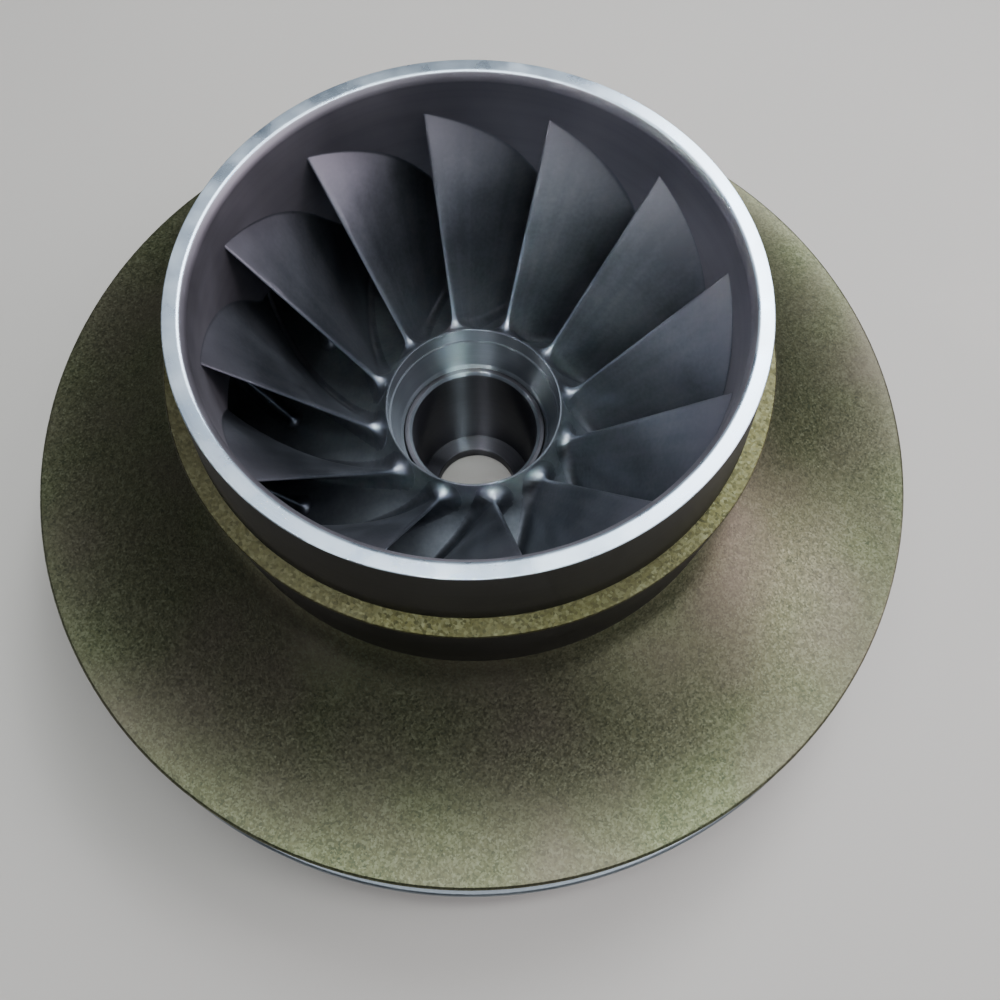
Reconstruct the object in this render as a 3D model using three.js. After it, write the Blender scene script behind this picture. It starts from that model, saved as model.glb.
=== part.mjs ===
// Closed centrifugal compressor impeller, as a three.js scene graph.
// Units are millimetres. +Z is up, along the shaft, with the suction eye at the top.
// The origin is at the centre of the hub's bottom face, on which the impeller stands.

import * as THREE from 'three';

// Overall sizes
const COVER_RADIUS = 110;
const HUB_RIM_RADIUS = 111.6;
const TOTAL_HEIGHT = 103.2;
const PIECE_GAP = 0.3;
const TURN_SEGMENTS = 72;

// Suction eye and the two machined lands round it
const EYE_RADIUS = 55.4;
const EYE_MOUTH_RADIUS = 56.5;
const EYE_MOUTH_CHAMFER = 1.5;
const RING_TOP_RADIUS = 59.7;
const RING_FOOT_RADIUS = 61.6;
const LEDGE_HEIGHT = 84.6;
const LEDGE_RADIUS = 65.4;
const LAND_FOOT_RADIUS = 64.4;
const LAND_FOOT_HEIGHT = 57.0;

// Cover plate
const COVER_RIM_TOP = 42.0;
const COVER_RIM_BOTTOM = 39.0;
const COVER_FLARE_POWER = 1.5;
const COVER_FLARE_STEPS = 9;
const RIM_CHAMFER = 0.5;
const COVER_BEND_HEIGHT = 78.0;
const COVER_BEND_POWER = 2.4;

// Hub: disc, boss and nose
const HUB_RIM_TOP = 29.0;
const HUB_RIM_BOTTOM = 25.0;
const HUB_BEND_POWER = 1.66;
const NOSE_RADIUS = 21.2;
const NOSE_HEIGHT = 54.5;
const RECESS_STEP_HEIGHT = 49.8;
const RECESS_STEP_RADIUS = 20.7;
const RECESS_FLOOR_RADIUS = 19.2;
const RECESS_FLOOR_HEIGHT = 41.1;
const GROOVE_DEPTH = 1.6;
const BOSS_RADIUS = 34.0;
const BOSS_FILLET = 6.0;
const BOSS_CHAMFER = 1.0;

// Bush that lines the shaft bore
const BUSH_OUTER_RADIUS = 18.1;
const BORE_RADIUS = 16.2;
const BORE_CHAMFER = 0.6;
const BOLT_HOLE_RADIUS = 11.4;
const BUSH_FLOOR = 4.0;

// Blades: the leading edge of a full blade, the start of a splitter, and how both wrap
const BLADE_COUNT = 12;
const FIRST_BLADE_ANGLE = 99.8;
const EDGE_HUB_RADIUS = 24.1;
const EDGE_HUB_HEIGHT = 50.6;
const EDGE_COVER_HEIGHT = 91.8;
const SPLITTER_HUB_RADIUS = 48.1;
const SPLITTER_COVER_RADIUS = 56.7;
const SPLITTER_LEAN = 3;
const WALL_STEPS = 3;
const INLET_STEPS = 7;
const OUTLET_STEPS = 9;
const SPAN_STEPS = 3;
const HUB_INLET_SLOPE = 36.5;
const COVER_INLET_SLOPE = 66;
const OUTLET_SLOPE = 32;
const SLOPE_EASE_LENGTH = 24;
const BLADE_TRIM = 0.5;
const OUTLET_TRIM = 1.0;
const EDGE_HALF_THICKNESS = 0.35;
const BODY_HALF_THICKNESS = 0.9;
const EDGE_TAPER_STEPS = 2;
const THINNEST_FACE_TILT = 0.3;

const FINISHES = {
  coatedCover: { color: 0x77745a, roughness: 0.72, metalness: 0.35 },
  machinedRing: { color: 0xc6ccd2, roughness: 0.3, metalness: 0.9 },
  castHub: { color: 0x6f767c, roughness: 0.45, metalness: 0.8 },
  castBlade: { color: 0x7b8186, roughness: 0.42, metalness: 0.8 },
  steelBush: { color: 0x8e9296, roughness: 0.2, metalness: 0.95 },
};

const group = new THREE.Group();

// A named mesh with its own material, added to the group
function addPiece(name, geometry, finish) {
  const material = new THREE.MeshStandardMaterial(FINISHES[finish]);
  const mesh = new THREE.Mesh(geometry, material);
  mesh.name = name;
  group.add(mesh);
  return mesh;
}

// A turned ring from a closed outline of [radius, height] points, listed with the metal on the left
function turned(outline) {
  const points = [...outline, outline[0]].map(([radius, height]) => new THREE.Vector2(radius, height));
  const geometry = new THREE.LatheGeometry(points, TURN_SEGMENTS);
  geometry.rotateX(Math.PI / 2);
  return geometry;
}

// Height of a flow surface that leaves the bend vertically and reaches the rim level
function bendHeight(radius, bend) {
  const across = (COVER_RADIUS - radius) / (COVER_RADIUS - bend.radius);
  const drop = (1 - Math.min(1, across) ** bend.power) ** (1 / bend.power);
  return bend.height - (bend.height - bend.rimHeight) * drop;
}

// Points on a bend from one radius to another, closer together where the bend is tighter
function bendPoints(fromRadius, toRadius, steps, bend) {
  const points = [];
  for (let i = 0; i <= steps; i += 1) {
    const share = (i / steps) ** 1.4;
    const radius = fromRadius + (toRadius - fromRadius) * share;
    points.push([radius, bendHeight(radius, bend)]);
  }
  return points;
}

const HUB_BEND = {
  radius: EDGE_HUB_RADIUS,
  height: EDGE_HUB_HEIGHT,
  rimHeight: HUB_RIM_TOP,
  power: HUB_BEND_POWER,
};
const COVER_BEND = {
  radius: EYE_RADIUS,
  height: COVER_BEND_HEIGHT,
  rimHeight: COVER_RIM_BOTTOM,
  power: COVER_BEND_POWER,
};

// Flow surface of the hub, from the full blades' leading edge to the rim
function hubStations() {
  const inlet = bendPoints(EDGE_HUB_RADIUS, SPLITTER_HUB_RADIUS, INLET_STEPS, HUB_BEND);
  const outlet = bendPoints(SPLITTER_HUB_RADIUS, COVER_RADIUS, OUTLET_STEPS, HUB_BEND);
  return [...inlet, ...outlet.slice(1)];
}

// Flow surface of the cover, from the leading edge down the eye wall and out to the rim
function coverStations() {
  const wall = [];
  for (let i = 0; i < WALL_STEPS; i += 1) {
    const height = EDGE_COVER_HEIGHT + ((COVER_BEND_HEIGHT - EDGE_COVER_HEIGHT) * i) / WALL_STEPS;
    wall.push([EYE_RADIUS, height]);
  }
  const inletSteps = INLET_STEPS - WALL_STEPS;
  const inlet = bendPoints(EYE_RADIUS, SPLITTER_COVER_RADIUS, inletSteps, COVER_BEND);
  const outlet = bendPoints(SPLITTER_COVER_RADIUS, COVER_RADIUS, OUTLET_STEPS, COVER_BEND);
  return [...wall, ...inlet, ...outlet.slice(1)];
}

const HUB_LINE = hubStations();
const COVER_LINE = coverStations();

// Wrap angle, in radians, that a blade has turned through at each station of a flow line
function wrapAlong(line, inletSlope) {
  const angles = [0];
  let travelled = 0;
  for (let i = 1; i < line.length; i += 1) {
    const [r0, z0] = line[i - 1];
    const [r1, z1] = line[i];
    const step = Math.hypot(r1 - r0, z1 - z0);
    const eased = THREE.MathUtils.smoothstep(travelled + step / 2, 0, SLOPE_EASE_LENGTH);
    const slope = THREE.MathUtils.lerp(inletSlope, OUTLET_SLOPE, eased);
    const turn = (step * Math.tan(THREE.MathUtils.degToRad(slope))) / ((r0 + r1) / 2);
    angles.push(angles[i - 1] + turn);
    travelled += step;
  }
  return angles;
}

const HUB_WRAP = wrapAlong(HUB_LINE, HUB_INLET_SLOPE);
const COVER_WRAP = wrapAlong(COVER_LINE, COVER_INLET_SLOPE);

// Radius, height and wrap of a blade's middle surface at one station and share of the span
function middle(station, span) {
  const [hubRadius, hubHeight] = HUB_LINE[station];
  const [coverRadius, coverHeight] = COVER_LINE[station];
  return {
    radius: hubRadius + (coverRadius - hubRadius) * span,
    height: hubHeight + (coverHeight - hubHeight) * span,
    wrap: HUB_WRAP[station] + (COVER_WRAP[station] - HUB_WRAP[station]) * span,
  };
}

function toPoint({ radius, height, wrap }) {
  return new THREE.Vector3(radius * Math.cos(wrap), -radius * Math.sin(wrap), height);
}

// How squarely the blade's face looks round the shaft: 1 is square, 0 is edge on
function faceTilt(station, span) {
  const last = HUB_LINE.length - 1;
  const before = toPoint(middle(Math.max(0, station - 1), span));
  const after = toPoint(middle(Math.min(last, station + 1), span));
  const along = after.sub(before);
  const across = toPoint(middle(station, 1)).sub(toPoint(middle(station, 0)));
  const normal = along.cross(across).normalize();
  const { wrap } = middle(station, span);
  const round = new THREE.Vector3(-Math.sin(wrap), -Math.cos(wrap), 0);
  return Math.max(THINNEST_FACE_TILT, Math.abs(normal.dot(round)));
}

// A blade from its first station to the rim, as one closed body that clears the hub and the cover.
// The lean turns its first edge at the cover, in degrees, and fades out towards the rim.
function bladeGeometry(firstStation, angle, lean) {
  const last = HUB_LINE.length - 1;
  const count = last - firstStation + 1;
  const positions = [];
  for (const side of [-1, 1]) {
    for (let i = 0; i < count; i += 1) {
      const station = firstStation + i;
      const [hubRadius, hubHeight] = HUB_LINE[station];
      const [coverRadius, coverHeight] = COVER_LINE[station];
      const trim = BLADE_TRIM / Math.hypot(coverRadius - hubRadius, coverHeight - hubHeight);
      const taper = Math.min(1, i / EDGE_TAPER_STEPS);
      const thickness = EDGE_HALF_THICKNESS + (BODY_HALF_THICKNESS - EDGE_HALF_THICKNESS) * taper;
      for (let j = 0; j <= SPAN_STEPS; j += 1) {
        const span = trim + ((1 - 2 * trim) * j) / SPAN_STEPS;
        const place = middle(station, span);
        const squareness = i === 0 ? 1 : faceTilt(station, span);
        const shift = (side * thickness) / (place.radius * squareness);
        const radius = Math.min(place.radius, COVER_RADIUS - OUTLET_TRIM);
        const leaned = lean * span * (1 - i / (count - 1));
        const wrap = place.wrap + shift - THREE.MathUtils.degToRad(angle + leaned);
        positions.push(...toPoint({ radius, height: place.height, wrap }).toArray());
      }
    }
  }
  const row = SPAN_STEPS + 1;
  const vertex = (side, i, j) => side * count * row + i * row + j;
  const indices = [];
  const quad = (a, b, c, d) => indices.push(a, c, b, a, d, c);
  for (let i = 0; i < count - 1; i += 1) {
    for (let j = 0; j < SPAN_STEPS; j += 1) {
      quad(vertex(0, i, j), vertex(0, i + 1, j), vertex(0, i + 1, j + 1), vertex(0, i, j + 1));
      quad(vertex(1, i, j), vertex(1, i, j + 1), vertex(1, i + 1, j + 1), vertex(1, i + 1, j));
    }
    quad(vertex(0, i, 0), vertex(1, i, 0), vertex(1, i + 1, 0), vertex(0, i + 1, 0));
    const tip = SPAN_STEPS;
    quad(vertex(0, i, tip), vertex(0, i + 1, tip), vertex(1, i + 1, tip), vertex(1, i, tip));
  }
  for (let j = 0; j < SPAN_STEPS; j += 1) {
    quad(vertex(0, 0, j), vertex(0, 0, j + 1), vertex(1, 0, j + 1), vertex(1, 0, j));
    const end = count - 1;
    quad(vertex(0, end, j), vertex(1, end, j), vertex(1, end, j + 1), vertex(0, end, j + 1));
  }
  const geometry = new THREE.BufferGeometry();
  geometry.setAttribute('position', new THREE.Float32BufferAttribute(positions, 3));
  geometry.setIndex(indices);
  geometry.computeVertexNormals();
  return geometry;
}

// Cover plate: rim, hollow flare, lower land, ledge, and the flow surface inside
function coverOutline() {
  const outline = [
    [COVER_RADIUS, COVER_RIM_BOTTOM],
    [COVER_RADIUS, COVER_RIM_TOP - RIM_CHAMFER],
    [COVER_RADIUS - RIM_CHAMFER, COVER_RIM_TOP],
  ];
  const width = COVER_RADIUS - RIM_CHAMFER - LAND_FOOT_RADIUS;
  for (let i = 1; i <= COVER_FLARE_STEPS; i += 1) {
    const share = i / COVER_FLARE_STEPS;
    const height = COVER_RIM_TOP + (LAND_FOOT_HEIGHT - COVER_RIM_TOP) * share ** COVER_FLARE_POWER;
    outline.push([COVER_RADIUS - RIM_CHAMFER - width * share, height]);
  }
  outline.push([LEDGE_RADIUS, LEDGE_HEIGHT]);
  outline.push([EYE_RADIUS, LEDGE_HEIGHT]);
  const flowSurface = COVER_LINE.filter(([, height]) => height < LEDGE_HEIGHT);
  return [...outline, ...flowSurface.slice(0, -1)];
}

// Eye ring on top of the cover, with its slightly tapered upper land and bright end face
function eyeRingOutline() {
  const foot = LEDGE_HEIGHT + PIECE_GAP;
  return [
    [EYE_RADIUS, foot],
    [RING_FOOT_RADIUS, foot],
    [RING_TOP_RADIUS, TOTAL_HEIGHT],
    [EYE_MOUTH_RADIUS, TOTAL_HEIGHT],
    [EYE_RADIUS, TOTAL_HEIGHT - EYE_MOUTH_CHAMFER],
  ];
}

// Hub: boss underneath, back plate, rim, flow surface, nose and the stepped recess inside it
function hubOutline() {
  const bore = BUSH_OUTER_RADIUS + PIECE_GAP;
  const filletSteps = 3;
  const outline = [
    [bore, 0],
    [BOSS_RADIUS - BOSS_CHAMFER, 0],
    [BOSS_RADIUS, BOSS_CHAMFER],
  ];
  for (let i = 0; i <= filletSteps; i += 1) {
    const turn = (Math.PI / 2) * (i / filletSteps);
    const radius = BOSS_RADIUS + BOSS_FILLET * (1 - Math.cos(turn));
    const height = HUB_RIM_BOTTOM - BOSS_FILLET * (1 - Math.sin(turn));
    outline.push([radius, height]);
  }
  outline.push([HUB_RIM_RADIUS, HUB_RIM_BOTTOM]);
  outline.push([HUB_RIM_RADIUS, HUB_RIM_TOP]);
  outline.push(...[...HUB_LINE].reverse());
  outline.push([NOSE_RADIUS + 1, NOSE_HEIGHT]);
  outline.push([NOSE_RADIUS, NOSE_HEIGHT]);
  outline.push([NOSE_RADIUS, RECESS_STEP_HEIGHT]);
  outline.push([RECESS_STEP_RADIUS, RECESS_STEP_HEIGHT]);
  outline.push([RECESS_FLOOR_RADIUS, RECESS_FLOOR_HEIGHT]);
  outline.push([bore, RECESS_FLOOR_HEIGHT - GROOVE_DEPTH]);
  return outline;
}

// Bush in the shaft bore: a thin tube with a floor that the shaft's bolt passes through
function bushOutline() {
  return [
    [BOLT_HOLE_RADIUS, 0],
    [BUSH_OUTER_RADIUS, 0],
    [BUSH_OUTER_RADIUS, RECESS_FLOOR_HEIGHT],
    [BORE_RADIUS + BORE_CHAMFER, RECESS_FLOOR_HEIGHT],
    [BORE_RADIUS, RECESS_FLOOR_HEIGHT - BORE_CHAMFER],
    [BORE_RADIUS, BUSH_FLOOR],
    [BOLT_HOLE_RADIUS, BUSH_FLOOR],
  ];
}

addPiece('hub_disc', turned(hubOutline()), 'castHub');
addPiece('bore_bush', turned(bushOutline()), 'steelBush');
addPiece('cover_plate', turned(coverOutline()), 'coatedCover');
addPiece('eye_ring', turned(eyeRingOutline()), 'machinedRing');

const PITCH = 360 / BLADE_COUNT;
for (let i = 0; i < BLADE_COUNT; i += 1) {
  const number = String(i + 1).padStart(2, '0');
  const angle = FIRST_BLADE_ANGLE + PITCH * i;
  addPiece(`blade_${number}`, bladeGeometry(0, angle, 0), 'castBlade');
  const splitter = bladeGeometry(INLET_STEPS, angle - PITCH / 2, SPLITTER_LEAN);
  addPiece(`splitter_${number}`, splitter, 'castBlade');
}

export default group;
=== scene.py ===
"""Closed centrifugal compressor impeller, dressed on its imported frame.

The casting stands on its hub's bottom face with the suction eye on top. The turned pieces, the
full blades and the splitters are modelled fine here and stand for the faceted solids.
"""

import logging
import math
from abc import ABC, abstractmethod
from collections.abc import Callable, Sequence
from dataclasses import dataclass, field
from enum import Enum
from functools import partial
from typing import ClassVar, NamedTuple

import bpy
from mathutils import Matrix, Vector


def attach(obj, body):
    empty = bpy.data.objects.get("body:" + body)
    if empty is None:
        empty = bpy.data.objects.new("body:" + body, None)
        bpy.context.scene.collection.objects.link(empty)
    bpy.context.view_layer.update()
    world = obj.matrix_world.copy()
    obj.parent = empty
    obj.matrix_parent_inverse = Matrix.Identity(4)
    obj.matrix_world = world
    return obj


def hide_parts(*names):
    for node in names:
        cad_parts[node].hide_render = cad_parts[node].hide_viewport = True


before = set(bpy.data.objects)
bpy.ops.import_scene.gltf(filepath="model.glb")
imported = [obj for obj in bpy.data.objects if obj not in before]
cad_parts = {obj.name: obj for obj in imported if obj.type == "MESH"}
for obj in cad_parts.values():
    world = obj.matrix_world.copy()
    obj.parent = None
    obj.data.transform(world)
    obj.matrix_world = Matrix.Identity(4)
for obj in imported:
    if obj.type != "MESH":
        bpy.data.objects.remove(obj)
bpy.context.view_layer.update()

LOG = logging.getLogger("impeller")
BODY = "root"
MM = 0.001
TURN_STEPS = 192
TURNED_SMOOTH_DEG = 38
BLADE_SMOOTH_DEG = 40
QUARTER_TURN = 0.25
# Points of a mesh this close together, in millimetres, are the same point.
SAME_MM = 0.001
# A noise texture keeps mostly between these values.
NOISE_SPAN = {"From Min": 0.3, "From Max": 0.7}

Point = tuple[float, float]
Triple = tuple[float, float, float]
Colour = tuple[float, float, float, float]
Level = tuple[str, float]
Inputs = dict[str | int, object]
Adder = Callable[..., bpy.types.Node]


def linear(hex_code: str) -> Colour:
    """Turns an sRGB hex colour into the linear colour that the shaders take.

    Args:
        hex_code: Six hex digits, such as "7a7a58".

    Returns:
        Red, green, blue and an alpha of one.
    """
    shares = [int(hex_code[i : i + 2], 16) / 255 for i in (0, 2, 4)]
    channels = (c / 12.92 if c <= 0.04045 else ((c + 0.055) / 1.055) ** 2.4 for c in shares)
    return (*channels, 1.0)


def clamp(share: float) -> float:
    """Keeps a share between 0 and 1.

    Args:
        share: Any number.

    Returns:
        The number, or the end that it is past.
    """
    return min(1.0, max(0.0, share))


def waves(mark_mm: float) -> float:
    """Works out a noise texture's scale from the size of its marks.

    Args:
        mark_mm: Size of one light or dark mark in millimetres.

    Returns:
        The scale, at which two marks fill one wave.
    """
    return 1 / (mark_mm * MM * 2)


def feed(node: bpy.types.Node, inputs: Inputs) -> None:
    """Gives a node's inputs their values and links.

    Args:
        node: The node.
        inputs: Input names or numbers, each with a value, with the output that feeds it, or
            with a node whose first output feeds it.
    """
    for name, value in inputs.items():
        source = value.outputs[0] if isinstance(value, bpy.types.Node) else value
        if isinstance(source, bpy.types.NodeSocket):
            node.id_data.links.new(source, node.inputs[name])
        else:
            node.inputs[name].default_value = source


def add_node(
    tree: bpy.types.NodeTree,
    kind: str,
    inputs: Inputs | None = None,
    stops: Sequence[tuple[float, Colour]] = (),
    **settings: object,
) -> bpy.types.Node:
    """Adds a node with its settings, values and links.

    Args:
        tree: The material's or world's node tree.
        kind: Blender's name of the node type, without its first words ShaderNode.
        inputs: What feeds the node's inputs.
        stops: Positions and colours, where the node is a colour ramp.
        settings: Properties of the node itself.

    Returns:
        The new node.
    """
    node = tree.nodes.new(f"ShaderNode{kind}")
    for name, value in settings.items():
        setattr(node, name, value)
    feed(node, inputs or {})
    for number, (position, colour) in enumerate(stops):
        elements = node.color_ramp.elements
        element = elements[number] if number < 2 else elements.new(position)
        element.position = position
        element.color = colour
    return node


def new_material(name: str) -> tuple[bpy.types.Material, Adder, bpy.types.Node]:
    """Makes an empty material with its surface shader in place.

    Args:
        name: The finish's name.

    Returns:
        The material, add_node for its own tree, and its Principled shader.
    """
    material = bpy.data.materials.new(name)
    material.use_nodes = True
    material.node_tree.nodes.clear()
    add = partial(add_node, material.node_tree)
    shader = add("BsdfPrincipled")
    add("OutputMaterial", {"Surface": shader})
    return material, add, shader


def place_nodes(add: Adder) -> tuple[bpy.types.NodeSocket, bpy.types.NodeSocket]:
    """Adds the object's own coordinates and the distance from the shaft axis.

    Args:
        add: Adds a node to the material's tree.

    Returns:
        The position and the radius, both in metres.
    """
    place = add("TexCoord").outputs["Object"]
    flat = add("VectorMath", {0: place, 1: (1.0, 1.0, 0.0)}, operation="MULTIPLY")
    radius = add("VectorMath", {0: flat}, operation="LENGTH")
    return place, radius.outputs["Value"]


@dataclass(frozen=True)
class BlastedCoat:
    """Aluminium under a thin olive conversion coat, over a surface blasted with coarse grit.

    The grit marks are drawn coarser than real, so that they show.
    """

    name: str
    deep: str
    middle: str
    pale: str
    tint: str
    tint_share: float = 0.55
    grain_mm: float = 0.42
    blotch_mm: float = 0.9
    cloud_mm: float = 16.0
    roughness: float = 0.36
    smoother: float = 0.08
    rougher: float = 0.1
    metallic: float = 0.9
    facet: float = 0.012

    def material(self) -> bpy.types.Material:
        """Builds the coat's material.

        Returns:
            The material, with every node linked.
        """
        material, add, shader = new_material(self.name)
        place, _ = place_nodes(add)
        # Each grit mark is a small facet with its own tilt and tone, so the coat sparkles.
        grains = add("TexVoronoi", {"Vector": place, "Scale": 1 / (self.grain_mm * MM)})
        grain = grains.outputs["Color"]
        parts = add("SeparateColor", {"Color": grain}).outputs
        # The marks crowd together in blotches of about a millimetre.
        blotch = add("TexNoise", {"Vector": place, "Scale": waves(self.blotch_mm), "Detail": 3.0})
        mixed = add("Math", {0: parts["Red"], 1: blotch}, operation="ADD")
        spread = add("MapRange", {"Value": mixed, "From Min": 0.3, "From Max": 1.7})
        tones = ((0.0, linear(self.deep)), (0.5, linear(self.middle)), (1.0, linear(self.pale)))
        tone = add("ValToRGB", {"Fac": spread}, tones)
        # The coat's thickness wanders, which turns its olive towards mauve in soft clouds.
        cloud = add("TexNoise", {"Vector": place, "Scale": waves(self.cloud_mm), "Detail": 2.0})
        wander = {"Value": cloud, "From Min": 0.35, "From Max": 0.7, "To Max": self.tint_share}
        share = add("MapRange", wander)
        shade = add("Mix", {0: share, 6: tone, 7: linear(self.tint)}, data_type="RGBA")
        glossy, matt = self.roughness - self.smoother, self.roughness + self.rougher
        rough = add("MapRange", {"Value": parts["Green"], "To Min": glossy, "To Max": matt})
        tilt = add("VectorMath", {0: grain, 1: (0.5, 0.5, 0.5)}, operation="SUBTRACT")
        leaning = {0: tilt, 1: (self.facet,) * 3, 2: add("NewGeometry").outputs["Normal"]}
        facet = add("VectorMath", leaning, operation="MULTIPLY_ADD")
        normal = add("VectorMath", {0: facet}, operation="NORMALIZE")
        look = {"Base Color": shade.outputs[2], "Roughness": rough, "Normal": normal}
        feed(shader, {**look, "Metallic": self.metallic})
        return material


@dataclass(frozen=True)
class TurnedMetal:
    """Metal turned on a lathe, with fine rings left by the tool.

    The rings are drawn coarser than real, so that they show.
    """

    name: str
    dark: str
    light: str
    roughness: float
    metallic: float = 1.0
    ring_mm: float = 0.5
    ring_share: float = 0.4
    bump_mm: float = 0.008
    stretch: float = 0.6
    stain: float = 0.12
    stain_mm: float = 12.0

    def material(self) -> bpy.types.Material:
        """Builds the turned metal's material.

        Returns:
            The material, with every node linked.
        """
        material, add, shader = new_material(self.name)
        place, radius = place_nodes(add)
        height = add("SeparateXYZ", {0: place}).outputs["Z"]
        across = add("CombineXYZ", {"X": radius, "Y": height})
        # The tool's rings run round the shaft: they change with radius and height alone.
        turned = {"Vector": across, "Scale": waves(self.ring_mm), "Detail": 2.0, "Roughness": 0.7}
        rings = add("TexNoise", turned)
        # Handling and dried coolant leave faint uneven patches.
        stain = add("TexNoise", {"Vector": place, "Scale": waves(self.stain_mm), "Detail": 4.0})
        blend = add("Math", {0: rings, 1: self.ring_share, 2: stain}, operation="MULTIPLY_ADD")
        spread = add("MapRange", {"Value": blend, "From Min": 0.45, "From Max": 0.95})
        tones = ((0.0, linear(self.dark)), (1.0, linear(self.light)))
        tone = add("ValToRGB", {"Fac": spread}, tones)
        glossy, matt = self.roughness - self.stain * 0.4, self.roughness + self.stain * 0.6
        rough = add("MapRange", {"Value": stain, **NOISE_SPAN, "To Min": glossy, "To Max": matt})
        bump = add("Bump", {"Height": rings, "Strength": 0.6, "Distance": self.bump_mm * MM})
        look = {
            "Base Color": tone,
            "Roughness": rough,
            "Normal": bump,
            # Reflections stretch across the rings, so the tangent follows the turning.
            "Tangent": add("Tangent", direction_type="RADIAL", axis="Z"),
            "Metallic": self.metallic,
            "Anisotropic": self.stretch,
            "Anisotropic Rotation": QUARTER_TURN,
        }
        feed(shader, look)
        return material


@dataclass(frozen=True)
class CastMetal:
    """Aluminium investment casting, dressed by hand and bead blasted to a satin slate grey.

    The shot's marks are drawn coarser than real, so that they show.
    """

    name: str
    dark: str
    light: str
    roughness: float
    smoother: float = 0.05
    rougher: float = 0.07
    metallic: float = 0.95
    cloud_mm: float = 9.0
    shot_mm: float = 0.5
    fine_share: float = 0.25
    tone_from: float = 0.42
    tone_width: float = 0.42
    streak_mm: float = 1.6
    streak_share: float = 1.6
    streak_stretch: float = 0.12
    streak_mean: float = 0.2
    outline_mm: float = 0.0
    span_mm: float = 36.0
    bump_mm: float = 0.03
    # A lighter mauve, painted sheen, laid on what is highest between two heights.
    painted_sheen: str = "9c9aa3"
    sheen_from_mm: float = 72.0
    sheen_to_mm: float = 97.0
    sheen_share: float = 0.8
    sheen_dulls: float = 0.16
    dressed_mm: float = 2.4
    dressed_depth_mm: float = 0.12
    dressed_from_mm: float = 24.0
    dressed_to_mm: float = 46.0
    dressed_least: float = 0.12

    def material(self) -> bpy.types.Material:
        """Builds the casting's material.

        Returns:
            The material, with every node linked.
        """
        material, add, shader = new_material(self.name)
        place, radius = place_nodes(add)
        # The wax pattern leaves soft clouds of sheen, and the shot a fine even grain.
        sheen = {"Vector": place, "Scale": waves(self.cloud_mm), "Detail": 4.0, "Roughness": 0.55}
        cloud = add("TexNoise", sheen)
        fine = add("TexNoise", {"Vector": place, "Scale": waves(self.shot_mm), "Detail": 1.0})
        lowest = self.tone_from
        if self.outline_mm:
            # Dressing strokes run from the root to the tip of each blade.
            scale = (self.outline_mm, self.span_mm * self.streak_stretch, 1.0)
            unrolled = {"Vector": add("TexCoord").outputs["UV"], "Scale": scale}
            drawn = add("Mapping", unrolled)
            stroked = {"Vector": drawn, "Scale": 1 / (self.streak_mm * 2), "Detail": 3.0}
            both = {0: add("TexNoise", stroked), 1: self.streak_share, 2: fine}
            fine = add("Math", both, operation="MULTIPLY_ADD")
            lowest += self.streak_mean
        blend = add("Math", {0: fine, 1: self.fine_share, 2: cloud}, operation="MULTIPLY_ADD")
        ends = {"From Min": lowest, "From Max": lowest + self.tone_width}
        spread = add("MapRange", {"Value": blend, **ends})
        tones = ((0.0, linear(self.dark)), (1.0, linear(self.light)))
        tone = add("ValToRGB", {"Fac": spread}, tones)
        # A lighter mauve is painted on what is highest, as painted sheen on the blade tips, and it
        # is made duller there.
        height = add("SeparateXYZ", {0: place}).outputs["Z"]
        ends = {"From Min": self.sheen_from_mm * MM, "From Max": self.sheen_to_mm * MM}
        sheen_heights = {"Value": height, **ends, "To Max": self.sheen_share}
        painted_sheen = add("MapRange", sheen_heights, interpolation_type="SMOOTHSTEP")
        sheened = add("Mix", {0: painted_sheen, 6: tone, 7: linear(self.painted_sheen)}, data_type="RGBA")
        glossy, matt = self.roughness - self.smoother, self.roughness + self.rougher
        rough = add("MapRange", {"Value": cloud, **NOISE_SPAN, "To Min": glossy, "To Max": matt})
        dulled = add("Math", {0: painted_sheen, 1: self.sheen_dulls, 2: rough}, operation="MULTIPLY_ADD")
        bump = add("Bump", {"Height": blend, "Strength": 0.6, "Distance": self.bump_mm * MM})
        # Round the nose the casting was dressed by hand, which left shallow uneven hollows.
        dented = {"Vector": place, "Scale": waves(self.dressed_mm), "Detail": 2.0}
        hollows = add("TexNoise", {**dented, "Distortion": 0.6})
        ends = {"From Min": self.dressed_from_mm * MM, "From Max": self.dressed_to_mm * MM}
        fading = {"Value": radius, **ends, "To Min": 1.0, "To Max": self.dressed_least}
        depths = {"Strength": add("MapRange", fading), "Distance": self.dressed_depth_mm * MM}
        dressed = add("Bump", {"Height": hollows, "Normal": bump, **depths})
        look = {"Base Color": sheened.outputs[2], "Roughness": dulled, "Normal": dressed}
        feed(shader, {**look, "Metallic": self.metallic})
        return material


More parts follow.
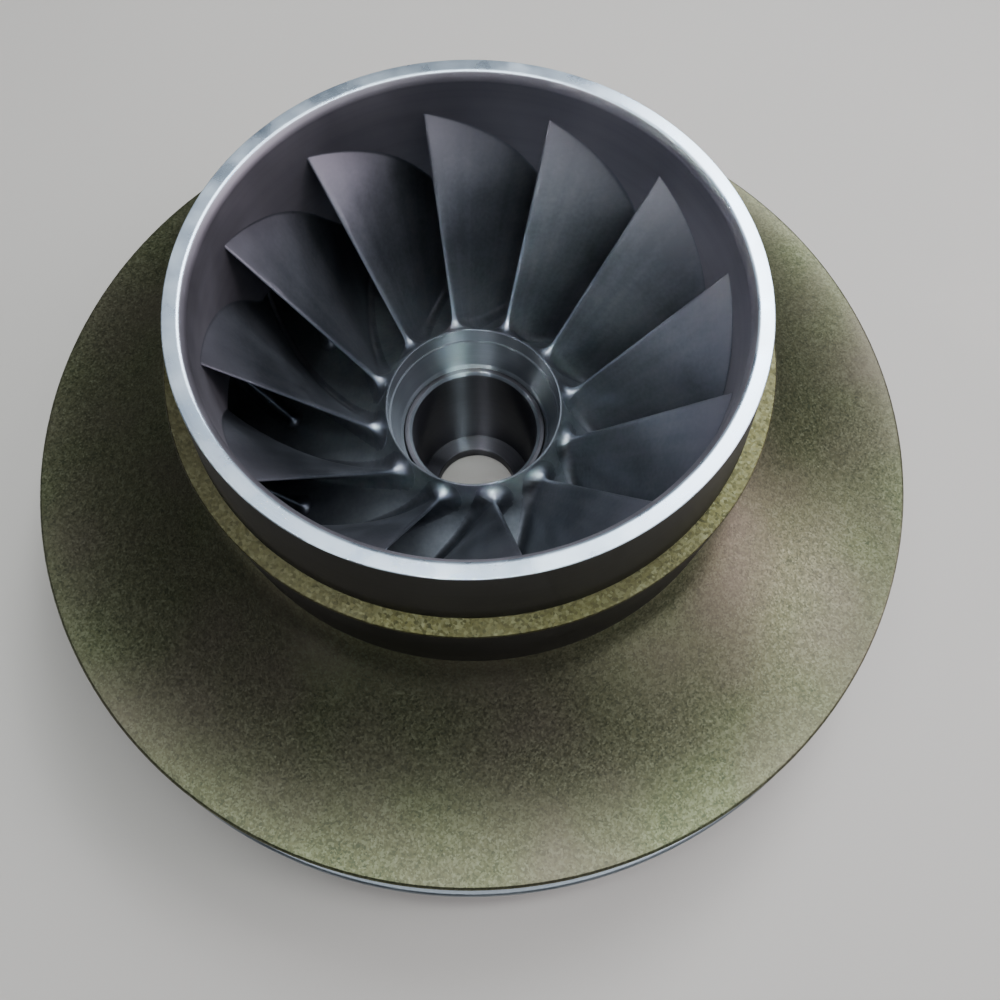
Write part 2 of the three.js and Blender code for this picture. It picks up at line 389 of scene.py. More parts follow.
class Finish(Enum):
    """The finishes that the impeller's surfaces have."""

    # A matt olive that glints, dull where it faces away from the light.
    FLARE = BlastedCoat("blasted_olive_coat", "434a38", "5f6247", "757a60", "6c6159")
    # The same coat over fresher, sharper grit, so it sparkles more and looks yellower.
    LEDGE = BlastedCoat(
        "blasted_olive_ledge", "2c2d1c", "4b492c", "5f6047", "4f4c3a", grain_mm=0.55, facet=0.05
    )
    # Skimmed on the lathe and oxidised: smooth and nearly black, with a soft sheen.
    LAND = TurnedMetal("turned_dark_land", "232120", "312f2c", 0.42, metallic=0.8, stain=0.1)
    # Faced aluminium: the brightest surface, bluish white, with very fine rings.
    END_FACE = TurnedMetal(
        "turned_bright_end_face", "b8cbdd", "e4f2fc", 0.28, ring_mm=0.8, stretch=0.7, stain_mm=4.0
    )
    # Bored aluminium, dulled by the coating bath: a smooth mauve grey.
    EYE_WALL = TurnedMetal("bored_eye_wall", "928f96", "a7a4ab", 0.5, ring_mm=1.2, stretch=0.2)
    # Turned aluminium, its grey painted dark as painted shade for the nose's recess: sharp bright
    # lines on its edges.
    NOSE = TurnedMetal("turned_nose", "4e5358", "656a70", 0.42, stretch=0.98)
    # Honed steel, painted almost black as painted shade deep in the bore and on the bush's lip,
    # with long bright streaks down the bore.
    BORE = TurnedMetal("polished_steel_bore", "36363a", "48484c", 0.32, stretch=1.0, stain=0.04)
    # Turned aluminium back, greyer and duller than the end face.
    BACK = TurnedMetal("turned_back_plate", "6c7074", "8d9296", 0.38, ring_mm=1.0)
    # Investment-cast passage floor: satin, blue grey, with soft clouds; painted lighter than the
    # blades' cast metal, as painted light on the floor.
    PASSAGE = CastMetal("cast_hub_floor", "7e868c", "9ea6ac", 0.38)
    # Investment-cast blade: satin slate grey with faint strokes from root to tip, and a painted
    # mauve sheen near the top.
    BLADE = CastMetal("cast_blade", "6e747c", "8e939b", 0.36, outline_mm=190.0)


class Finishes:
    """Hands out one Blender material for each finish, made when it is first asked for."""

    def __init__(self) -> None:
        """Starts with nothing made."""
        self._made: dict[Finish, bpy.types.Material] = {}

    def get(self, finish: Finish) -> bpy.types.Material:
        """Gives the Blender material of a finish.

        Args:
            finish: The finish that is asked for.

        Returns:
            Its one material in this scene.
        """
        if finish not in self._made:
            self._made[finish] = finish.value.material()
        return self._made[finish]


def clear_selection() -> None:
    """Leaves edit mode and deselects every object.

    The next operator then touches only what it is given.
    """
    if bpy.context.object and bpy.context.object.mode != "OBJECT":
        bpy.ops.object.mode_set(mode="OBJECT")
    bpy.ops.object.select_all(action="DESELECT")


def settle(piece: bpy.types.Object, replaced: str) -> None:
    """Hands a finished piece to the frame.

    Args:
        piece: The piece, with its place in its mesh.
        replaced: The faceted node that it stands for.
    """
    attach(piece, BODY)
    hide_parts(replaced)
    LOG.info("%s stands for %s, %d faces", piece.name, replaced, len(piece.data.polygons))


@dataclass(frozen=True)
class Corner:
    """A corner of an outline: radius, height and how wide its edge is broken, in millimetres."""

    radius: float
    height: float
    edge: float = 0.0


def break_edges(piece: bpy.types.Object, corners: Sequence[Corner], width: float) -> None:
    """Rounds the turned edges that are broken by one width.

    Args:
        piece: The spun piece.
        corners: The corners whose edges are broken.
        width: Width of the broken edge in millimetres.
    """
    near_mm = 0.004
    marks = []
    for vertex in piece.data.vertices:
        x, y, z = vertex.co / MM
        away = [math.hypot(math.hypot(x, y) - c.radius, z - c.height) for c in corners]
        marks.append(away.index(min(away)) if min(away) < near_mm else -1)
    bpy.ops.object.mode_set(mode="EDIT")
    bpy.ops.mesh.select_mode(type="EDGE")
    bpy.ops.mesh.select_all(action="DESELECT")
    bpy.ops.object.mode_set(mode="OBJECT")
    for edge in piece.data.edges:
        first, second = (marks[i] for i in edge.vertices)
        edge.select = first >= 0 and first == second
    bpy.ops.object.mode_set(mode="EDIT")
    bpy.ops.mesh.bevel(offset=width * MM, segments=3, affect="EDGES")
    bpy.ops.mesh.select_mode(type="VERT")
    bpy.ops.object.mode_set(mode="OBJECT")


class Place(NamedTuple):
    """A place on a turned surface: radius and height in millimetres, and its normal's rise."""

    radius: float
    height: float
    rise: float


class TurnedPart(ABC):
    """A solid of revolution: an outline spun round the shaft, with a finish for each zone."""

    name: ClassVar[str]
    slot: ClassVar[str]
    node: ClassVar[str]

    @abstractmethod
    def outline(self) -> list[Corner]:
        """Lists the corners round the section.

        Returns:
            The corners in order, the last one joined to the first.
        """

    @abstractmethod
    def zone(self, place: Place) -> Finish:
        """Picks the finish of a place on the piece.

        The few tenths of a millimetre beside a limit keep a broken edge with its surface.

        Args:
            place: Where it lies and how far it faces up.

        Returns:
            The finish.
        """

    def _spin(self, outline: Sequence[Corner]) -> bpy.types.Object:
        """Draws one point out from corner to corner and spins the outline round the shaft.

        Args:
            outline: The corners in order round the section.

        Returns:
            The solid, with its faces pointing out.
        """
        clear_selection()
        corners = [Vector((corner.radius * MM, 0.0, corner.height * MM)) for corner in outline]
        bpy.ops.mesh.primitive_plane_add(size=2 * MM, location=(0.0, 0.0, 0.0))
        piece = bpy.context.object
        piece.name = self.name
        piece.data.name = self.name
        bpy.ops.object.mode_set(mode="EDIT")
        bpy.ops.mesh.select_all(action="SELECT")
        bpy.ops.mesh.merge(type="CENTER")
        bpy.ops.transform.translate(value=corners[0])
        for before, after in zip(corners, [*corners[1:], corners[0]]):
            bpy.ops.mesh.extrude_region_move(TRANSFORM_OT_translate={"value": after - before})
        bpy.ops.mesh.select_all(action="SELECT")
        bpy.ops.mesh.remove_doubles(threshold=SAME_MM * MM)
        bpy.ops.mesh.spin(
            steps=TURN_STEPS, angle=2 * math.pi, center=(0.0, 0.0, 0.0), axis=(0.0, 0.0, 1.0)
        )
        bpy.ops.mesh.select_all(action="SELECT")
        bpy.ops.mesh.remove_doubles(threshold=SAME_MM * MM)
        bpy.ops.mesh.normals_make_consistent(inside=False)
        bpy.ops.object.mode_set(mode="OBJECT")
        return piece

    def build(self, finishes: Finishes) -> None:
        """Turns the piece, breaks its sharp edges, dresses it and hands it to the frame.

        Args:
            finishes: The made materials.
        """
        outline = self.outline()
        piece = self._spin(outline)
        for width in sorted({corner.edge for corner in outline if corner.edge}):
            break_edges(piece, [corner for corner in outline if corner.edge == width], width)
        bpy.ops.object.shade_smooth_by_angle(angle=math.radians(TURNED_SMOOTH_DEG))
        even = piece.modifiers.new("even_shading", "WEIGHTED_NORMAL")
        even.keep_sharp = True
        even.weight = 80
        bpy.ops.object.modifier_apply(modifier=even.name)
        zones: list[Finish] = []
        for face in piece.data.polygons:
            centre = face.center / MM
            zone = self.zone(Place(math.hypot(centre.x, centre.y), centre.z, face.normal.z))
            if zone not in zones:
                zones.append(zone)
                piece.data.materials.append(finishes.get(zone))
            face.material_index = zones.index(zone)
        settle(piece, self.node)


@dataclass(frozen=True)
class FlowPath:
    """The gas passage: the hub's surface, the cover's surface and how the blades turn.

    Heights and radii are in millimetres. A station runs from 0 at the leading edge to 1 at the
    outlet, by the share of each surface's length, and a little below 0 in front of the edge.
    """

    outlet_radius: float = 110.0
    hub_edge: Point = (24.1, 50.6)
    nose_foot: Point = (21.7, 54.3)
    hub_rim_height: float = 29.0
    hub_power: float = 1.66
    eye_radius: float = 55.4
    cover_edge_height: float = 92.8
    bend_height: float = 78.0
    cover_rim_height: float = 39.0
    cover_power: float = 2.4
    hub_slope: float = 36.5
    cover_slope: float = 66.0
    outlet_slope: float = 32.0
    ease_length: float = 24.0
    wall_steps: int = 200
    bend_steps: int = 600
    stations: int = 400
    hub: list[Triple] = field(init=False, repr=False)
    cover: list[Triple] = field(init=False, repr=False)

    def __post_init__(self) -> None:
        """Measures both surfaces once.

        The path is frozen, so the lines are set past its own guard.
        """
        drop = self.bend_height - self.cover_edge_height
        wall = [
            (self.eye_radius, self.cover_edge_height + drop * i / self.wall_steps)
            for i in range(self.wall_steps)
        ]
        bend_start = (self.eye_radius, self.bend_height)
        bend = self._bend(bend_start, self.cover_rim_height, self.cover_power)
        hub = self._bend(self.hub_edge, self.hub_rim_height, self.hub_power)
        object.__setattr__(self, "hub", self._measured(hub, self.hub_slope))
        object.__setattr__(self, "cover", self._measured(wall + bend, self.cover_slope))

    def _bend(self, start: Point, rim_height: float, power: float) -> list[Point]:
        """Draws a surface that bends from along the shaft to the outlet.

        Args:
            start: Radius and height where the bend starts.
            rim_height: Height at the outlet.
            power: How squarely the surface bends.

        Returns:
            Radius and height along the bend, close together where it is sharpest.
        """
        inner, top = start
        width = self.outlet_radius - inner
        points = []
        for i in range(self.bend_steps + 1):
            radius = inner + width * (i / self.bend_steps) ** 2
            across = min(1.0, (self.outlet_radius - radius) / width)
            drop = (1 - across**power) ** (1 / power)
            points.append((radius, top - (top - rim_height) * drop))
        return points

    def _measured(self, line: Sequence[Point], inlet_slope: float) -> list[Triple]:
        """Adds to each point of a surface's line how far a blade has turned there.

        Args:
            line: Radius and height along the surface.
            inlet_slope: The blade's slope from the meridian at its leading edge, in degrees.

        Returns:
            Radius, height and turn in radians at even steps of the line's length.
        """
        lengths = [0.0]
        turns = [0.0]
        for (r0, z0), (r1, z1) in zip(line, line[1:]):
            step = math.hypot(r1 - r0, z1 - z0)
            share = clamp((lengths[-1] + step / 2) / self.ease_length)
            eased = share * share * (3 - 2 * share)
            slope = math.radians(inlet_slope + (self.outlet_slope - inlet_slope) * eased)
            turns.append(turns[-1] + step * math.tan(slope) / ((r0 + r1) / 2))
            lengths.append(lengths[-1] + step)
        even = []
        at = 0
        for i in range(self.stations + 1):
            goal = lengths[-1] * i / self.stations
            while at < len(lengths) - 2 and lengths[at + 1] < goal:
                at += 1
            share = clamp((goal - lengths[at]) / (lengths[at + 1] - lengths[at]))
            (r0, z0), (r1, z1) = line[at], line[at + 1]
            turn = turns[at] + (turns[at + 1] - turns[at]) * share
            even.append((r0 + (r1 - r0) * share, z0 + (z1 - z0) * share, turn))
        return even

    def at(self, line: Sequence[Triple], station: float) -> Vector:
        """Radius, height and turn on a surface at a station, carried straight on past its ends.

        Args:
            line: The hub's or the cover's measured line.
            station: Share of the surface's length.

        Returns:
            Radius and height in millimetres and the turn in radians.
        """
        place = station * (len(line) - 1)
        low = int(min(len(line) - 2, max(0, math.floor(place))))
        if place < 0 and line is self.hub:
            rise = Vector(self.nose_foot) - Vector(self.hub_edge)
            step = math.dist(line[0][:2], line[1][:2])
            rise = rise.normalized() * (-place * step)
            turn = line[0][2] + (line[1][2] - line[0][2]) * place
            return Vector((line[0][0] + rise.x, line[0][1] + rise.y, turn))
        first, second = Vector(line[low]), Vector(line[low + 1])
        return first + (second - first) * (place - low)


@dataclass
class BladeRow:
    """A ring of cast blades between the hub and the cover.

    Every blade has a rounded nose, a body that is thicker at its root, and fillets where it
    meets the hub and the cover. Sizes are in millimetres and angles in degrees.
    """

    path: FlowPath
    name: str
    node: str
    first_angle: float
    hub_start: float = 0.0
    cover_start: float = 0.0
    lean: float = 0.0
    count: int = 12
    length: float = 90.0
    outlet_length: float = 62.0
    root_nose: float = 0.62
    tip_nose: float = 0.42
    root_body: float = 1.05
    tip_body: float = 0.8
    body_length: float = 9.0
    nose_fillet: float = 4.6
    nose_fillet_share: float = 0.12
    root_fillet: float = 2.4
    tip_fillet: float = 0.5
    tip_fillet_share: float = 0.1
    tip_fillet_least: float = 0.45
    outlet_fillet: float = 1.3
    outlet_trim: float = 1.0
    sink: float = 0.5
    side_steps: int = 64
    side_ease: float = 1.5
    nose_steps: int = 10
    fillet_steps: int = 8
    fillet_ease: float = 1.7
    span_steps: int = 12

    def _middle(self, share: float, span: float) -> Vector:
        """Radius, height and turn of the blade's middle surface.

        Args:
            share: How far along the blade, below 0 in front of its nose.
            span: Share of the way from the hub to the cover.

        Returns:
            Radius and height in millimetres and the turn in radians.
        """
        start = self.hub_start + (self.cover_start - self.hub_start) * span
        station = start + (1 - start) * share
        path = self.path
        place = path.at(path.hub, station).lerp(path.at(path.cover, station), span)
        place.z -= math.radians(self.lean) * span * (1 - max(0.0, share))
        return place

    def _offset(self, share: float, span: float, ahead: float, aside: float) -> Vector:
        """A point beside the middle surface, kept on the same layer of the passage.

        Args:
            share: How far along the blade the point starts from.
            span: Share of the way from the hub to the cover.
            ahead: Distance to go on along the blade.
            aside: Distance to go across it.

        Returns:
            The point in metres.
        """
        small = 0.004
        low = max(0.0, share - small)
        before = self._middle(low, span)
        after = self._middle(low + 2 * small, span)
        meridian = math.hypot(after.x - before.x, after.y - before.y)
        around = (after.z - before.z) * (before.x + after.x) / 2
        length = math.hypot(meridian, around)
        along, turning = meridian / length, around / length
        here = self._middle(share, span)
        move = ahead * along - aside * turning
        turn = ahead * turning + aside * along
        place = self._middle(share + move / (meridian / (2 * small)), span)
        angle = -(here.z + turn / here.x)
        return Vector((place.x * math.cos(angle), place.x * math.sin(angle), place.y)) * MM

    def _half(self, share: float, span: float) -> float:
        """Half of the blade's thickness at a place.

        Args:
            share: Share of the blade's length from its leading edge.
            span: Share of the way from the hub to the cover.

        Returns:
            Half thickness in millimetres.
        """
        nose = self.root_nose + (self.tip_nose - self.root_nose) * span
        body = self.root_body + (self.tip_body - self.root_body) * span
        grown = min(1.0, share * self.length / self.body_length)
        return nose + (body - nose) * math.sin(grown * math.pi / 2)

    def _levels(self) -> list[Level]:
        """Lists the rows of points from the hub to the cover.

        Returns:
            Each row's kind and its share of the way through that kind.
        """
        rows: list[Level] = [("shut_hub", 0.0), ("sunk_hub", 0.0)]
        rows += [("hub", i / self.fillet_steps) for i in range(self.fillet_steps)]
        rows += [("span", i / self.span_steps) for i in range(self.span_steps + 1)]
        rows += [("cover", 1 - (i + 1) / self.fillet_steps) for i in range(self.fillet_steps)]
        rows += [("sunk_cover", 0.0), ("shut_cover", 0.0)]
        return rows

    def _span_and_flare(self, share: float, level: Level) -> tuple[float, float]:
        """Where a row of points lies in the passage, and how far its fillet stands out there.

        Args:
            share: How far along the blade.
            level: The row's kind and its own share.

        Returns:
            The share of the span, and the fillet's reach in millimetres.
        """
        at = clamp(share)
        hub, cover = self._middle(at, 0.0), self._middle(at, 1.0)
        width = math.hypot(cover.x - hub.x, cover.y - hub.y)
        root = self.root_fillet + (self.outlet_fillet - self.root_fillet) * at
        near_nose = max(0.0, 1 - at / self.nose_fillet_share) ** 2
        root += (self.nose_fillet - self.root_fillet) * near_nose
        least = self.tip_fillet_least
        tip = self.tip_fillet * (least + (1 - least) * clamp(at / self.tip_fillet_share))
        kind, part = level
        turn = part**self.fillet_ease * math.pi / 2
        if kind in ("shut_hub", "sunk_hub"):
            return -self.sink / width, root
        if kind == "hub":
            return root * (1 - math.cos(turn)) / width, root * (1 - math.sin(turn))
        if kind == "span":
            return (root + (width - root - tip) * part) / width, 0.0
        if kind == "cover":
            return 1 - tip * (1 - math.cos(turn)) / width, tip * (1 - math.sin(turn))
        return 1 + self.sink / width, tip

    def _section(self, level: Level) -> list[Vector]:
        """The closed outline of the blade at one level, back to its first point.

        Args:
            level: The row's kind and its own share.

        Returns:
            The outline's points in metres, the last one the same as the first.
        """
        shut = level[0].startswith("shut")
        last = 1 - self.outlet_trim / self.outlet_length
        steps = self.side_steps
        shares = [last * (i / steps) ** self.side_ease for i in range(steps + 1)]
        points = []
        span, flare = self._span_and_flare(0.0, level)
        nose = self._half(0.0, clamp(span))
        lead = nose / self.length
        reach = 0.0 if shut else nose + flare
        for i in range(self.nose_steps + 1):
            turn = math.pi * (0.5 - i / self.nose_steps)
            ahead, aside = -reach * math.cos(turn), -reach * math.sin(turn)
            points.append(self._offset(lead, span, ahead, aside))
        for side, order in ((1.0, shares[1:]), (-1.0, shares[:0:-1])):
            for share in order:
                span, flare = self._span_and_flare(share, level)
                reach = 0.0 if shut else self._half(share, clamp(span)) + flare
                points.append(self._offset(max(share, lead), span, 0.0, side * reach))
        return [*points, points[0]]

    def _model(self, finishes: Finishes) -> bpy.types.Object:
        """Models the first blade of the row.

        A grid is wrapped round the blade. The passage is free-form, so each of the grid's
        points is laid on the blade's own section, and the seam and the ends are then merged.

        Args:
            finishes: The made materials.

        Returns:
            The blade at angle 0.
        """
        sections = [self._section(level) for level in self._levels()]
        around, rows = len(sections[0]), len(sections)
        clear_selection()
        bpy.ops.mesh.primitive_grid_add(
            x_subdivisions=around - 1, y_subdivisions=rows - 1, size=2.0, location=(0.0, 0.0, 0.0)
        )
        blade = bpy.context.object
        for vertex in blade.data.vertices:
            column = round((vertex.co.x + 1) / 2 * (around - 1))
            row = round((vertex.co.y + 1) / 2 * (rows - 1))
            vertex.co = sections[row][column]
        bpy.ops.object.mode_set(mode="EDIT")
        bpy.ops.mesh.select_all(action="SELECT")
        bpy.ops.mesh.remove_doubles(threshold=SAME_MM * MM / 2)
        bpy.ops.mesh.normals_make_consistent(inside=False)
        bpy.ops.object.mode_set(mode="OBJECT")
        bpy.ops.object.shade_smooth_by_angle(angle=math.radians(BLADE_SMOOTH_DEG))
        blade.data.materials.append(finishes.get(Finish.BLADE))
        return blade

    def build(self, finishes: Finishes) -> None:
        """Makes the whole row in order round the shaft, each blade with its own mesh.

        Args:
            finishes: The made materials.
        """
        first = self._model(finishes)
        blades = [first]
        while len(blades) < self.count:
            clear_selection()
            first.select_set(True)
            bpy.context.view_layer.objects.active = first
            bpy.ops.object.duplicate(linked=False)
            blades.append(bpy.context.object)
        for number, blade in enumerate(blades):
            blade.name = f"{self.name}_{number + 1:02d}"
            blade.data.name = blade.name
            turn = math.radians(self.first_angle + 360 / self.count * number)
            blade.data.transform(Matrix.Rotation(turn, 4, "Z"))
            settle(blade, f"{self.node}_{number + 1:02d}")


@dataclass
class HubCasting(TurnedPart):
    """The hub: back plate, boss, the gas passage's floor, the nose and its stepped recess."""

    name = "hub_casting"
    slot = "cast_hub"
    node = "hub_disc"
    path: FlowPath
    rim_radius: float = 111.6
    rim_bottom: float = 25.0
    nose_radius: float = 21.2
    nose_height: float = 54.5
    nose_flat: float = 0.3
    step_height: float = 49.8
    step_radius: float = 20.7
    floor_radius: float = 19.2
    floor_height: float = 41.1
    groove_depth: float = 0.8
    bush_radius: float = 18.4
    boss_radius: float = 34.0
    boss_fillet: float = 6.0
    boss_chamfer: float = 1.0
    fillet_steps: int = 12
    floor_steps: int = 60

    def outline(self) -> list[Corner]:
        """The hub's outline, from the bore round the back and the rim to the nose.

        Returns:
            The corners in order, the last one joined to the first.
        """
        reach = self.boss_fillet
        fillet = []
        for i in range(self.fillet_steps + 1):
            turn = math.radians(180 - 90 * i / self.fillet_steps)
            across, up = reach * math.cos(turn), reach * math.sin(turn)
            fillet.append(Corner(self.boss_radius + reach + across, self.rim_bottom - reach + up))
        steps = self.floor_steps
        floor = [self.path.at(self.path.hub, i / steps) for i in range(steps - 1, 0, -1)]
        return [
            Corner(self.bush_radius, 0.0),
            Corner(self.boss_radius - self.boss_chamfer, 0.0, 0.2),
            Corner(self.boss_radius, self.boss_chamfer, 0.2),
            *fillet,
            Corner(self.rim_radius, self.rim_bottom, 0.4),
            Corner(self.rim_radius, self.path.hub_rim_height, 0.75),
            *(Corner(place.x, place.y) for place in floor),
            Corner(*self.path.nose_foot),
            Corner(self.path.nose_foot[0] - self.nose_flat, self.nose_height),
            Corner(self.nose_radius, self.nose_height, 0.08),
            Corner(self.nose_radius, self.step_height),
            Corner(self.step_radius, self.step_height, 0.25),
            Corner(self.floor_radius, self.floor_height, 0.15),
            Corner(self.bush_radius, self.floor_height - self.groove_depth),
        ]

    def zone(self, place: Place) -> Finish:
        """Picks the finish of a place on the hub.

        Args:
            place: Where it lies and how far it faces up.

        Returns:
            The finish.
        """
        radius, height, rise = place
        rim = self.path.hub_rim_height
        on_nose = height > self.nose_height - 0.15 and radius < self.path.nose_foot[0]
        in_recess = height > self.floor_height - 4 and radius < self.nose_radius + 0.1
        if on_nose or in_recess:
            return Finish.NOSE
        on_floor = height > rim + 1 or (height > rim - 0.3 and rise > 0.02)
        return Finish.PASSAGE if on_floor else Finish.BACK


@dataclass
class BoreBush(TurnedPart):
    """The polished steel bush that lines the shaft bore, with a floor and a bolt hole."""

    name = "bore_liner"
    slot = "steel_bush"
    node = "bore_bush"
    outer_radius: float = 18.1
    bore_radius: float = 16.2
    height: float = 41.1
    lip_chamfer: float = 0.8
    hole_radius: float = 11.4
    floor_height: float = 4.0

    def outline(self) -> list[Corner]:
        """The bush's outline, from the bolt hole round the outside to the bore.

        Returns:
            The corners in order, the last one joined to the first.
        """
        return [
            Corner(self.hole_radius, 0.0, 0.2),
            Corner(self.outer_radius, 0.0),
            Corner(self.outer_radius, self.height, 0.2),
            Corner(self.bore_radius + self.lip_chamfer, self.height, 0.15),
            Corner(self.bore_radius, self.height - self.lip_chamfer, 0.15),
            Corner(self.bore_radius, self.floor_height),
            Corner(self.hole_radius, self.floor_height, 0.4),
        ]

    def zone(self, place: Place) -> Finish:
        """Picks the finish of a place on the bush.

        Args:
            place: Where it lies and how far it faces up.

        Returns:
            The finish.
        """
        foot = self.height - self.lip_chamfer
        on_chamfer = foot - 0.1 < place.height < self.height - 0.05
        inside = place.radius < self.outer_radius - 0.5
        return Finish.NOSE if on_chamfer and inside else Finish.BORE


@dataclass
class CoverPlate(TurnedPart):
    """The cover: its rim, the hollow flare, the lower land, the ledge and the inner wall."""

    name = "cover_shell"
    slot = "coated_cover"
    node = "cover_plate"
    path: FlowPath
    radius: float = 110.0
    rim_top: float = 42.0
    rim_chamfer: float = 0.5
    flare_power: float = 1.9
    flare_steps: int = 60
    neck_rise: float = 1.8
    neck_reach: float = 5.5
    neck_step: float = 0.35
    neck_power: float = 2.5
    land_foot: Point = (64.4, 57.0)
    ledge: Point = (65.4, 84.6)
    wall_steps: int = 60

    def outline(self) -> list[Corner]:
        """The cover's outline, from the rim up the outside and down the gas passage.

        Returns:
            The corners in order, the last one joined to the first.
        """
        top = self.radius - self.rim_chamfer
        width = top - self.land_foot[0]
        rise = self.land_foot[1] - self.rim_top
        flare = []
        for i in range(1, self.flare_steps + 1):
            share = i / self.flare_steps
            # Close under the land the flare turns up in a small fillet.
            neck = max(0.0, 1 - width * (1 - share) / self.neck_reach) ** self.neck_power
            height = self.rim_top + rise * share**self.flare_power + self.neck_rise * neck
            flare.append(Corner(top - width * share - self.neck_step * neck, height))
        # The land ends over the fillet in a small step, whose edge draws a pale line.
        step = self.land_foot[1] + self.neck_rise + self.neck_step
        steps = self.wall_steps
        wall = [self.path.at(self.path.cover, i / steps) for i in range(1, steps)]
        return [
            Corner(self.radius, self.path.cover_rim_height, 0.3),
            Corner(self.radius, self.rim_top - self.rim_chamfer, 0.2),
            Corner(top, self.rim_top, 0.2),
            *flare,
            Corner(self.land_foot[0], step, 0.12),
            Corner(*self.ledge, 0.35),
            Corner(self.path.eye_radius, self.ledge[1]),
            *(Corner(place.x, place.y) for place in wall if place.y < self.ledge[1] - 0.5),
        ]

    def zone(self, place: Place) -> Finish:
        """Picks the finish of a place on the cover.

        Args:
            place: Where it lies and how far it faces up.

        Returns:
            The finish.
        """
        radius, height, rise = place
        if height > self.ledge[1] - 0.3 and radius > self.path.eye_radius + 0.1:
            return Finish.LEDGE
        foot_radius, foot_height = self.land_foot
        if radius > foot_radius - 0.3 and height > foot_height + 0.2 and rise < 0.3:
            return Finish.LAND
        outside = rise > 0.1 or radius > self.radius - 0.1
        return Finish.FLARE if outside else Finish.EYE_WALL


@dataclass
class EyeRing(TurnedPart):
    """The ring round the suction eye: tapered land outside, bright end face, bored wall."""

    name = "eye_rim"
    slot = "machined_ring"
    node = "eye_ring"
    path: FlowPath
    foot_height: float = 84.6
    foot_radius: float = 61.6
    top_radius: float = 59.7
    height: float = 103.2
    mouth_radius: float = 56.5
    mouth_chamfer: float = 1.5

    def outline(self) -> list[Corner]:
        """The ring's outline, from its foot up the land and down the bored wall.

        Returns:
            The corners in order, the last one joined to the first.
        """
        return [
            Corner(self.path.eye_radius, self.foot_height),
            Corner(self.foot_radius, self.foot_height),
            Corner(self.top_radius, self.height, 0.2),
            Corner(self.mouth_radius, self.height, 0.55),
            Corner(self.path.eye_radius, self.height - self.mouth_chamfer, 0.7),
        ]

    def zone(self, place: Place) -> Finish:
        """Picks the finish of a place on the ring.

        Args:
            place: Where it lies and how far it faces up.

        Returns:
            The finish.
        """
        if place.radius < self.mouth_radius:
            return Finish.EYE_WALL
        return Finish.END_FACE if place.rise > 0.3 else Finish.LAND


SOFT_BOX = (0.08, 0.08)
SMALL_BOX = (0.04, 0.04)
AT_EYE = (0.02, 0.0, 0.08)
AT_NOSE = (0.0, 0.01, 0.05)


@dataclass(frozen=True)
class Lamp:
    """One soft area light: where it hangs and points, its size, power, colour and beam."""

    name: str
    place: Triple
    size: Point
    power: float
    colour: str
    beam_deg: float = 180.0
    aim: Triple = (0.0, 0.0, 0.05)

    def hang(self) -> None:
        """Adds the light to the scene.

        Its flat face is turned towards the point that it aims at.
        """
        data = bpy.data.lights.new(self.name, "AREA")
        data.shape = "RECTANGLE"
        data.size, data.size_y = self.size
        data.energy = self.power
        data.spread = math.radians(self.beam_deg)
        data.color = linear(self.colour)[:3]
        lamp = bpy.data.objects.new(self.name, data)
        bpy.context.scene.collection.objects.link(lamp)
        lamp.location = self.place
        direction = Vector(self.aim) - Vector(self.place)
        lamp.rotation_euler = direction.to_track_quat("-Z", "Y").to_euler()


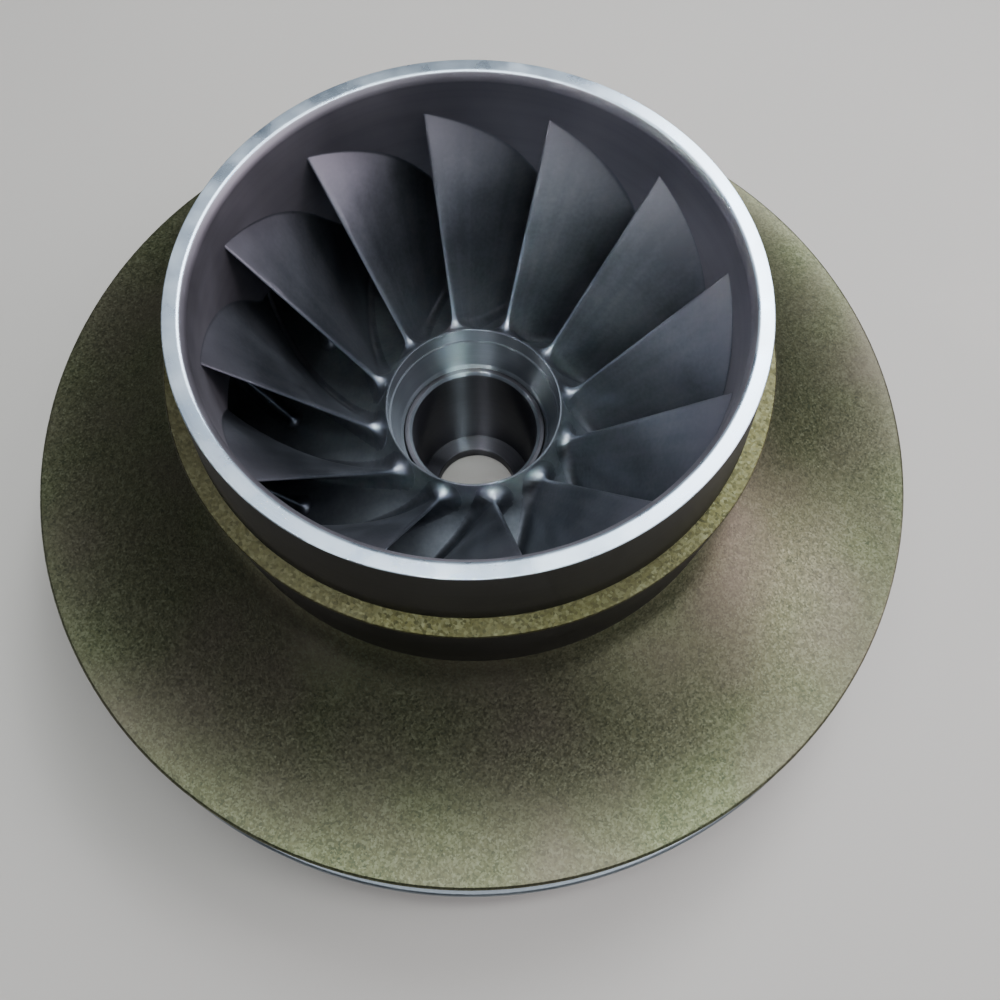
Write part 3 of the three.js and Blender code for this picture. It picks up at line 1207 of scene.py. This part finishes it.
@dataclass
class Studio:
    """The plain pale floor, the soft lights and the camera at the photographed angle."""

    floor_size: float = 3.0
    floor_drop: float = 0.0002
    floor_tone: str = "c9c5bd"
    floor_shade: float = 0.97
    floor_roughness: float = 0.7
    sky_tone: str = "b8bec8"
    sky_strength: float = 0.12
    camera_place: Triple = (0.0, -0.10522, 0.25258)
    camera_right: Triple = (0.99908167, -0.04156157, 0.01041368)
    camera_up: Triple = (0.03466036, 0.92685181, 0.37382399)
    camera_back: Triple = (-0.02518865, -0.37311976, 0.9274412)
    camera_lens: float = 32.717
    camera_sensor: float = 36.0
    camera_near: float = 0.01
    lamps: tuple[Lamp, ...] = (
        Lamp("ceiling_left", (-0.28, 0.02, 1.1), (0.5, 0.55), 2.0, "f4f8ff"),
        Lamp("ceiling_back", (0.3, 0.45, 1.0), (0.4, 0.35), 4.3, "f2f8ff"),
        Lamp("ceiling_back_left", (-0.2, 0.45, 1.0), (0.35, 0.35), 0.6, "f4f8ff"),
        Lamp("ceiling_front", (0.1, -0.3, 1.05), (0.7, 0.25), 2.2, "f4f8ff"),
        Lamp("ceiling_tube", (0.13, 0.0, 1.08), (0.08, 0.7), 3.2, "f6fdff"),
        Lamp("back_window", (0.3, 0.62, 0.85), (0.3, 0.3), 3.4, "f4f8ff"),
        Lamp("right_high", (0.75, -0.02, 0.85), (0.4, 0.5), 3.0, "f6f4ff"),
        Lamp("right_window", (1.05, -0.1, 0.45), (0.4, 0.8), 3.4, "f8e6f2"),
        Lamp("right_back", (0.7, 0.6, 0.7), (0.4, 0.4), 0.4, "f6f4ff"),
        Lamp("right_front", (0.7, -0.6, 0.6), (0.5, 0.4), 0.9, "f4f4f8"),
        Lamp("front_spot", (0.0, -0.95, 0.6), SOFT_BOX, 0.0014, "f4f6fa", 5.0, (0.02, 0.02, 0.08)),
        Lamp("cone_spot", (0.22, -0.55, 0.98), SMALL_BOX, 0.012, "e8fcff", 4.0, AT_NOSE),
        Lamp("bore_spot", (-0.18, -0.54, 0.99), SMALL_BOX, 0.006, "f4f8ff", 4.0, AT_NOSE),
        Lamp("left_spot", (-0.8, 0.0, 0.8), SOFT_BOX, 0.01, "f4f6fa", 5.0, AT_EYE),
        Lamp("left_front_spot", (-0.6, -0.6, 0.7), SOFT_BOX, 0.004, "f4f6fa", 5.0, AT_EYE),
    )

    def build_camera(self) -> None:
        """Sets the camera at the photographed angle.

        Its place and its three axes were worked out from the impeller's coaxial circles.
        """
        data = bpy.data.cameras.new("camera")
        data.sensor_width = self.camera_sensor
        data.lens = self.camera_lens
        data.clip_start = self.camera_near
        camera = bpy.data.objects.new("camera", data)
        bpy.context.scene.collection.objects.link(camera)
        columns = (self.camera_right, self.camera_up, self.camera_back)
        turn = Matrix(columns).transposed().to_4x4()
        camera.matrix_world = Matrix.Translation(self.camera_place) @ turn
        bpy.context.scene.camera = camera
        LOG.info("camera stands at %s", self.camera_place)

    def build_floor(self) -> None:
        """Lays the floor that the impeller stands on.

        It lies a hair lower than the hub's bottom face, so that the two don't flicker.
        """
        clear_selection()
        low = (0.0, 0.0, -self.floor_drop)
        bpy.ops.mesh.primitive_plane_add(size=self.floor_size, location=low)
        floor = bpy.context.object
        floor.name = "studio_floor"
        material, add, shader = new_material("painted_studio_floor")
        place, _ = place_nodes(add)
        cloud = add("TexNoise", {"Vector": place, "Scale": 6.0, "Detail": 3.0})
        tone = linear(self.floor_tone)
        shade = (*(channel * self.floor_shade for channel in tone[:3]), 1.0)
        ramp = add("ValToRGB", {"Fac": cloud}, ((0.3, shade), (0.7, tone)))
        feed(shader, {"Base Color": ramp, "Roughness": self.floor_roughness})
        floor.data.materials.append(material)
        LOG.info("%s is laid", floor.name)

    def build_lights(self) -> None:
        """Hangs the lamps and sets the soft light from all round.

        The spots have narrow beams that reach into the eye and leave the cover alone.
        """
        for lamp in self.lamps:
            lamp.hang()
        world = bpy.data.worlds.new("studio_sky")
        bpy.context.scene.world = world
        world.use_nodes = True
        world.node_tree.nodes.clear()
        add = partial(add_node, world.node_tree)
        glow = add("Background", {"Color": linear(self.sky_tone), "Strength": self.sky_strength})
        add("OutputWorld", {"Surface": glow})
        LOG.info("%d lamps are hung", len(self.lamps))


def main() -> None:
    """Builds the studio and the impeller in order.

    The first splitter stands half a step of the full blades' ring before the first blade.
    """
    logging.basicConfig(level=logging.INFO, format="%(name)s: %(message)s")
    studio = Studio()
    studio.build_camera()
    studio.build_floor()
    studio.build_lights()
    finishes = Finishes()
    path = FlowPath()
    for part in (HubCasting(path), BoreBush(), CoverPlate(path), EyeRing(path)):
        part.build(finishes)
    BladeRow(path, "full_blade", "blade", 100.1).build(finishes)
    BladeRow(
        path,
        "half_blade",
        "splitter",
        85.1,
        hub_start=0.306,
        cover_start=0.283,
        lean=3.0,
        root_nose=0.45,
        tip_nose=0.4,
        body_length=12.0,
        nose_fillet=2.6,
        root_fillet=1.8,
    ).build(finishes)


if __name__ == "__main__":
    main()
